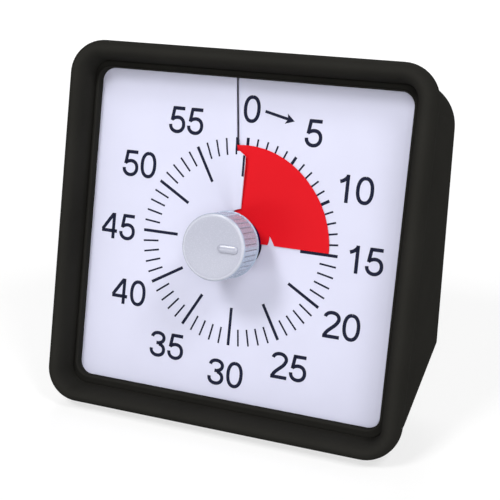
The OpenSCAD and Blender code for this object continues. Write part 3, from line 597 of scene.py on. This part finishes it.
def make_print():
    """Minute marks, numerals and the arrow from zero towards five, all in one piece."""
    verts, faces = [], []

    def lay(strip):
        base = len(verts)
        verts.extend(strip[0])
        faces.extend(tuple(i + base for i in f) for f in strip[1])

    for minute in range(60):
        a = math.radians(90 - 6 * minute)
        r0, width = (MAJOR_IN, MAJOR_W) if minute % 5 == 0 else (MINOR_IN, MINOR_W)
        if minute == 0:
            r0 = LIP_R + MARK_GAP
        path = spread((r0 * math.cos(a), r0 * math.sin(a)), (RING_R * math.cos(a), RING_R * math.sin(a)), 8)
        if minute == 59:
            path = [(x + MARK_SHIFT, y) for x, y in path]
        lay(ribbon(path, width, flap=minute == 59))
    # the inner piece of the zero mark lies on the flap, up to its edge
    left = MAJOR_W / 2
    middle = (LIP_PAST - left) / 2
    lay(ribbon(spread((middle, MAJOR_IN), (middle - MARK_SHIFT, LIP_R - MARK_SHORT), 10),
               left + LIP_PAST - MARK_SHIFT, flap=True))
    for k, (dx, dy) in enumerate(NUDGE):
        text = str(5 * k)
        a = math.radians(90 - 30 * k)
        cx, cy = NUMERAL_R * math.cos(a) + dx, NUMERAL_R * math.sin(a) + dy
        paths = [[(STRETCH * (x + ADVANCE * i), y) for x, y in path]
                 for i, char in enumerate(text) for path in GLYPHS[char]]
        xs = [x for path in paths for x, y in path]
        middle = (min(xs) + max(xs)) / 2
        for path in paths:
            pts = [(cx + (x - middle) * NUMERAL_H, cy + (y - 0.5) * NUMERAL_H) for x, y in path]
            lay(ribbon(pts, STROKE * NUMERAL_H))
    neck = (ARROW_TIP[0] + ARROW_NECK[0], ARROW_TIP[1] + ARROW_NECK[1])
    lay(ribbon(spread(ARROW_TAIL, neck, 6), ARROW_W))
    head = [(x, y, dial_height(x, y) + INK * 1.1) for x, y in ARROW_BARBS + [ARROW_TIP]]
    lay((head, [(0, 1, 3), (1, 2, 3)]))
    ink = piece("dial_print", verts, faces, DIAL, looks["ink_navy"], sharp_deg=80)
    bm = bmesh.new()
    bm.from_mesh(ink.data)
    for f in bm.faces:
        if f.normal.dot(knob_axis) < 0:
            f.normal_flip()
    bm.to_mesh(ink.data)
    bm.free()
    modify(ink, "SOLIDIFY", thickness=INK_T * MM, offset=-1)
    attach(ink, "housing")


make_print()

# ---- red film ----
FILM_R, FILM_IN = 0.915 * RING_R, 9.2
FILM_T = 0.22
FILM_COLS, REAR_COLS = 72, 160
FILM_TAIL = math.radians(96.9)
INNER_TAIL = math.radians(4)     # how much further the film goes beside the hub, where it stays level
SLIT_LIFT, RIM_LIFT = 0.8, 1.1   # the film lies higher where it leaves the slit, and most at its rim
LIFT_GAP, LIFT_R = (4, 0), (18, 38)    # distances from the slit and radii over which the lift grows
RIM_LIFT_R = (45.2, 46.5)
DIP_GAP = (-0.12, -0.52)         # distances beyond the slit over which the film dips behind the dial
FILM_SWELL = 0.7                 # how far the rim bulges where the film bends into the slit
SWELL_T, SWELL_R = (0.3, 0.9), 40      # shares of the way to the slit, and the radius where it begins
LEAD_Y = 0.82                    # height of the leading edge over the knob's level
NOTCH_IN, NOTCH_OUT, NOTCH_RISE = 0.3065 * RING_R, 0.375 * RING_R, 0.095 * RING_R
NOTCH_TIP = NOTCH_IN + 0.43 * (NOTCH_OUT - NOTCH_IN)
NOTCH_BEND = 0.85                # 1 would make the notch's sides straight
FILM_Z, FILM_DIP, REAR_Z = 0.42, -2.6, -4.5
REAR_FROM, REAR_TO = math.radians(6.5), math.radians(360.9)


def notch_y(r):
    """Height of the film's leading edge over the knob's level, with the small pointed notch in it."""
    if r <= NOTCH_IN or r >= NOTCH_OUT:
        return LEAD_Y
    end = NOTCH_IN if r < NOTCH_TIP else NOTCH_OUT
    near = (r - end) / (NOTCH_TIP - end)
    return LEAD_Y + NOTCH_RISE * (1 - (1 - near) ** NOTCH_BEND)


def make_front_film():
    """The visible quarter, from its leading edge back to the slit, where it dips behind the dial.

    Returns the piece, and for each vertex how far it follows the knob.
    """
    notch = [NOTCH_IN + 0.02, NOTCH_IN + 0.4, NOTCH_IN + 0.9, NOTCH_TIP - 0.12, NOTCH_TIP + 0.12,
             NOTCH_TIP + 0.7, NOTCH_TIP + 1.3, NOTCH_OUT - 0.35, NOTCH_OUT - 0.02]
    radii = [FILM_IN, 11, 13, 14.4] + notch + [21.5, 25, 29, 33, 37, 41, 44, 45.2, 46.5, FILM_R]
    verts, faces, share = [], [], []
    for j in range(FILM_COLS + 1):
        t = j / FILM_COLS
        for r in radii:
            first = math.asin(notch_y(r) / r)
            a = first + (FILM_TAIL + INNER_TAIL * (r < LIP_IN) - first) * t
            far_r = r + FILM_SWELL * ramp(t, *SWELL_T) * (r > SWELL_R)
            x, y = far_r * math.cos(a), far_r * math.sin(a)
            gap = x * math.sin(SLIT) - y * math.cos(SLIT) - SLIT_SHIFT   # to the right of the slit's middle
            dip = ramp(gap, *DIP_GAP) if t > 0.7 and r > LIP_IN else 0.0
            # past the slit, the film keeps the height of the dial's right side
            under = min(a, SLIT - 1e-3)
            lie = dial_height(far_r * math.cos(under), far_r * math.sin(under)) + FILM_Z
            if t > 0.5:
                lift = SLIT_LIFT + RIM_LIFT * ramp(r, *RIM_LIFT_R)
                lie += lift * ramp(gap, *LIFT_GAP) * ramp(r, *LIFT_R)
            verts.append((x, y, lie * (1 - dip) + FILM_DIP * dip))
            share.append(1 - t)
    n = len(radii)
    for j in range(FILM_COLS):
        for i in range(n - 1):
            faces.append((j * n + i, j * n + i + 1, (j + 1) * n + i + 1, (j + 1) * n + i))
    film = piece("film_front", verts, faces, DIAL, looks["film_red"], sharp_deg=60)
    return film, share


def make_rear_film():
    """The film behind the dial, drawn as the nearly full turn that comes out at sixty minutes."""
    radii = [12.6, 20, 30, 40, FILM_R]
    loops = []
    for j in range(REAR_COLS + 1):
        a = REAR_FROM + (REAR_TO - REAR_FROM) * j / REAR_COLS
        top = [(r * math.cos(a), r * math.sin(a), REAR_Z + FILM_T) for r in radii]
        loops.append(top + [(x, y, REAR_Z) for x, y, z in reversed(top)])
    verts, faces = loft(loops, caps=True)
    return piece("film_rear", verts, faces, DIAL, looks["film_red"], sharp_deg=40)


film_front, film_share = make_front_film()
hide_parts("red_film")
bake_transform(film_front, "housing", "knob", start=DIAL @ Vector((0, 40, 0)), end=DIAL @ Vector((40, 0, 0)))
weights = film_front.data.attributes["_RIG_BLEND"]
for i, w in enumerate(film_share):
    weights.data[i].value = w
skin = film_front.modifiers.new("thickness", "SOLIDIFY")
skin.thickness, skin.offset = FILM_T * MM, 0
film_rear = make_rear_film()
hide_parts("red_film")
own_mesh(film_rear)
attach(film_rear, "knob")

# ---- front feet, set a little back from the edge of the frame ----
FOOT_HALF_X, FOOT_INSET_X, FOOT_INSET_Y, FOOT_R = 11.6, 13, 1.3, 1.6
FOOT_BACK, FOOT_H = 1.2, 3.6


def make_feet():
    """Two pads with rounded lower edges, in upright axes."""
    low, high = (Vector(corner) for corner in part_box("front_feet"))
    half_x, half_y = FOOT_HALF_X, (high.y - low.y) / 2 / MM - FOOT_INSET_Y
    for side, name in ((-1, "foot_pad_left"), (1, "foot_pad_right")):
        middle = Vector((side * (high.x - FOOT_INSET_X * MM), (low.y + high.y) / 2 + FOOT_BACK * MM, low.z))
        loops = [rect_loop(half_x - inset, half_y - inset, FOOT_R - inset, z, corner=6, side=3)
                 for inset, z in ((0.5, 0.0), (0.15, 0.14), (0, 0.5), (0, FOOT_H))]
        verts, faces = loft(loops, caps=True)
        place = Matrix.Translation(middle) @ Matrix.Scale(MM, 4)
        pad = piece(name, verts, faces, place, looks[slots["front_feet"]],
                    sharp_deg=40)
        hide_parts("front_feet")
        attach(pad, "housing")


make_feet()

# ---- knob ----
RIBS, RIB_POINTS = 36, 14
LAND_R, GROOVE_R, KNOB_RIM_R = 16.1, 15.2, 16.45
KNOB_FRONT, KNOB_REAR, EDGE = 31.0, 13.0, 1.15
NECK_R, NECK_FOOT = 7.0, 5.0
GROOVE_SHARE = 0.13          # half a groove's width, in shares of the way from rib to rib
FACE_SUNK = 0.07
POINTER_HALF, POINTER_X = 1.95, (4.5, 10.9)
POINTER_PROFILE = ((0, -0.5), (0, 0.35), (0.1, 0.55), (0.25, 0.7), (0.55, 0.82), (0.9, 0.955), (1.2, 1.05),
                   (1.65, 1.08))     # inset from its outline, and height over the knob's front


def make_knob():
    """The ribbed knob with its neck and rim, and the raised pointer on its face."""
    cols = RIBS * RIB_POINTS

    def ring(r, z, groove=0.0):
        pts = []
        for i in range(cols):
            a = TAU * (i + 0.5) / cols
            place = (i % RIB_POINTS + 0.5) / RIB_POINTS
            rr = r - groove * ramp(min(place, 1 - place), GROOVE_SHARE, 0)
            pts.append((rr * math.cos(a), rr * math.sin(a), z))
        return pts

    depth = LAND_R - GROOVE_R
    shoulder = KNOB_FRONT - EDGE
    rings = [ring(r, z) for r, z in (
        (0.6, NECK_FOOT), (NECK_R - 0.2, NECK_FOOT), (NECK_R, NECK_FOOT + 0.2), (NECK_R, KNOB_REAR - 0.4),
        (NECK_R + 0.4, KNOB_REAR), (KNOB_RIM_R - 0.3, KNOB_REAR), (KNOB_RIM_R, KNOB_REAR + 0.25),
        (KNOB_RIM_R, KNOB_REAR + 0.9), (LAND_R, KNOB_REAR + 1.1))]
    rings += [ring(LAND_R, z, depth) for z in (KNOB_REAR + 1.2, 18, 23, shoulder - 0.9, shoulder - 0.5)]
    rings.append(ring(LAND_R, shoulder - 0.15))
    for deg in range(0, 91, 15):
        c, d = math.cos(math.radians(deg)), math.sin(math.radians(deg))
        rings.append(ring(LAND_R - EDGE + EDGE * c, shoulder + EDGE * d))
    rings += [ring(LAND_R - EDGE - 0.2, KNOB_FRONT - 0.02), ring(LAND_R - EDGE - 0.4, KNOB_FRONT - 0.06)]
    rings += [ring(r, KNOB_FRONT - FACE_SUNK) for r in (14.1, 12.5, 9, 5, 0.6)]
    verts, faces = loft(rings, caps=True)
    knob = piece("knob_grip", verts, faces, DIAL, looks["knob_grey"], sharp_deg=40)
    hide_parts("knob")
    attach(knob, "knob")
    pill = []
    angles = [math.radians(deg) for deg in range(-90, 91, 10)]
    for inset, rise in POINTER_PROFILE:
        half = POINTER_HALF - inset
        bend = [(half * math.cos(a), half * math.sin(a)) for a in angles]
        pill.append([(POINTER_X[1] + x, y, KNOB_FRONT + rise) for x, y in bend]
                    + [(POINTER_X[0] - x, -y, KNOB_FRONT + rise) for x, y in bend])
    verts, faces = loft(pill, caps=True)
    pointer = piece("knob_pointer", verts, faces, DIAL, looks["knob_grey"], sharp_deg=60)
    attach(pointer, "knob")


make_knob()

# ---- hub under the knob ----
CAP_R, HUB_BORE = 9.0, 2.52
HUB_COLS = 96
HUB_PROFILE = ((HUB_BORE, 0.62), (12.3, 0.62), (12.5, 0.8), (12.5, 1.15), (12.35, 1.35), (12.1, 1.4),
               (10.4, 1.6), (CAP_R, 2.1), (CAP_R, 4.7), (CAP_R - 0.3, 4.95), (HUB_BORE, 4.95))


def make_hub():
    """The dark hub under the knob, with the flange that holds the film down."""
    turns = [TAU * i / HUB_COLS for i in range(HUB_COLS)]
    loops = [[(r * math.cos(a), r * math.sin(a), z) for a in turns] for r, z in HUB_PROFILE]
    verts, faces = loft(loops, closed=True)
    hub = piece("hub_collar", verts, faces, DIAL, looks["hub_black"], sharp_deg=40)
    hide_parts("film_clamp")
    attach(hub, "knob")


make_hub()

# ---- camera, where the photograph was taken from ----
CAMERA_AT = (201.463, 62.433, 507.312)
CAMERA_RIGHT = Vector((0.92534983, 0.09488756, -0.36704775))
CAMERA_DOWN = Vector((0.13169421, -0.98833341, 0.07650957))
CAMERA_AHEAD = Vector((-0.35550574, -0.11913618, -0.92705029))

camera_data = bpy.data.cameras.new("camera")
camera = bpy.data.objects.new("camera", camera_data)
bpy.context.scene.collection.objects.link(camera)
bpy.context.scene.camera = camera
camera_data.sensor_width = 36
camera_data.lens = 79.79
camera_data.clip_start, camera_data.clip_end = 0.01, 50
turn = DIAL.to_3x3() @ Matrix.Scale(1 / MM, 3)
axes = [(turn @ v).normalized() for v in (CAMERA_RIGHT, -CAMERA_DOWN, -CAMERA_AHEAD)]
camera.matrix_world = Matrix.Translation(DIAL @ Vector(CAMERA_AT)) @ Matrix(axes).transposed().to_4x4()

# ---- floor, lights and world, in metres ----
FLOOR_HALF, FLOOR_BEND, FLOOR_TOP = 6.0, 2.0, 5.0
GLOW_FROM, GLOW_TO = (0.3, 0.67), (3.0, 1.02)    # pairs of distance from the middle and strength of glow
UNSEEN_GLOW = 0.45                               # share of the glow that lights the timer
WORLD_LIGHT, WORLD_SEEN = 0.12, 1.0
AIM = (0, 0, 0.09)
LIGHTS = {    # place, size and watts
    "upper_left": ((-0.454, -1.056, 1.343), (0.4, 0.4), 13.5),
    "upper_right": ((0.90, -0.571, 1.414), (0.45, 0.45), 10.5),
    "front": ((0.73, -1.73, 0.77), (0.8, 0.8), 10.8),
    "right": ((1.6, -0.27, 0.19), (0.35, 0.25), 3.6),
    "behind": ((-0.5, 1.7, 1.2), (0.9, 0.9), 18),
    "low_left": ((-0.75, -1.45, 0.14), (0.8, 0.25), 2.8),
}


def make_floor():
    """A pale floor that sweeps up behind the timer, far enough away to stay clear of every view.

    A faint glow keeps its shadows pale. It grows with the distance from the lamps, and lights the
    timer by less than it shows.
    """
    bend_y = FLOOR_HALF - FLOOR_BEND
    rows = [(-FLOOR_HALF, 0.0), (bend_y, 0.0)]
    for a in range(10, 91, 10):
        rows.append((bend_y + FLOOR_BEND * math.sin(math.radians(a)),
                     FLOOR_BEND - FLOOR_BEND * math.cos(math.radians(a))))
    rows.append((FLOOR_HALF, FLOOR_TOP))
    verts = [(x, y, z) for y, z in rows for x in (-FLOOR_HALF, FLOOR_HALF)]
    faces = [(2 * k, 2 * k + 1, 2 * k + 3, 2 * k + 2) for k in range(len(rows) - 1)]
    mesh = bpy.data.meshes.new("floor")
    mesh.from_pydata(verts, [], faces)
    for face in mesh.polygons:
        face.use_smooth = True
    floor = bpy.data.objects.new("floor", mesh)
    bpy.context.scene.collection.objects.link(floor)
    mat, bsdf, add, join = shader("floor_pale")
    bsdf.inputs["Base Color"].default_value = (0.35, 0.35, 0.35, 1)
    bsdf.inputs["Roughness"].default_value = 0.9
    bsdf.inputs["Specular IOR Level"].default_value = 0.1
    bsdf.inputs["Emission Color"].default_value = (1, 1, 1, 1)
    where = add("ShaderNodeTexCoord").outputs["Object"]
    away = add("ShaderNodeVectorMath", {0: where}, operation="LENGTH")
    glow = add("ShaderNodeMapRange", {"Value": away.outputs["Value"], "From Min": GLOW_FROM[0],
                                      "From Max": GLOW_TO[0], "To Min": GLOW_FROM[1], "To Max": GLOW_TO[1]})
    seen = add("ShaderNodeLightPath").outputs["Is Camera Ray"]
    share = add("ShaderNodeMapRange", {"Value": seen, "To Min": UNSEEN_GLOW, "To Max": 1.0})
    strength = add("ShaderNodeMath", {0: glow.outputs["Result"], 1: share.outputs["Result"]},
                   operation="MULTIPLY")
    join(strength.outputs[0], "Emission Strength")
    mesh.materials.append(mat)


def area_light(name, where, size, power):
    """A soft lamp that faces the timer."""
    data = bpy.data.lights.new(name, "AREA")
    data.shape = "RECTANGLE"
    data.size, data.size_y = size
    data.energy = power
    obj = bpy.data.objects.new(name, data)
    bpy.context.scene.collection.objects.link(obj)
    obj.location = where
    obj.rotation_mode = "QUATERNION"
    obj.rotation_quaternion = (Vector(AIM) - Vector(where)).to_track_quat("-Z", "Y")


def make_world():
    """A dim white sky, which a camera sees as bright as the floor."""
    world = bpy.data.worlds.new("studio")
    bpy.context.scene.world = world
    world.use_nodes = True
    tree = world.node_tree
    background = tree.nodes["Background"]
    seen = tree.nodes.new("ShaderNodeLightPath")
    strength = tree.nodes.new("ShaderNodeMapRange")
    strength.inputs["To Min"].default_value = WORLD_LIGHT
    strength.inputs["To Max"].default_value = WORLD_SEEN
    tree.links.new(seen.outputs["Is Camera Ray"], strength.inputs["Value"])
    background.inputs["Color"].default_value = (1, 1, 1, 1)
    tree.links.new(strength.outputs["Result"], background.inputs["Strength"])


make_floor()
for light, (where, size, power) in LIGHTS.items():
    area_light(light, where, size, power)
make_world()
bpy.context.scene.view_settings.view_transform = "Standard"
bpy.context.scene.view_settings.look = "None"
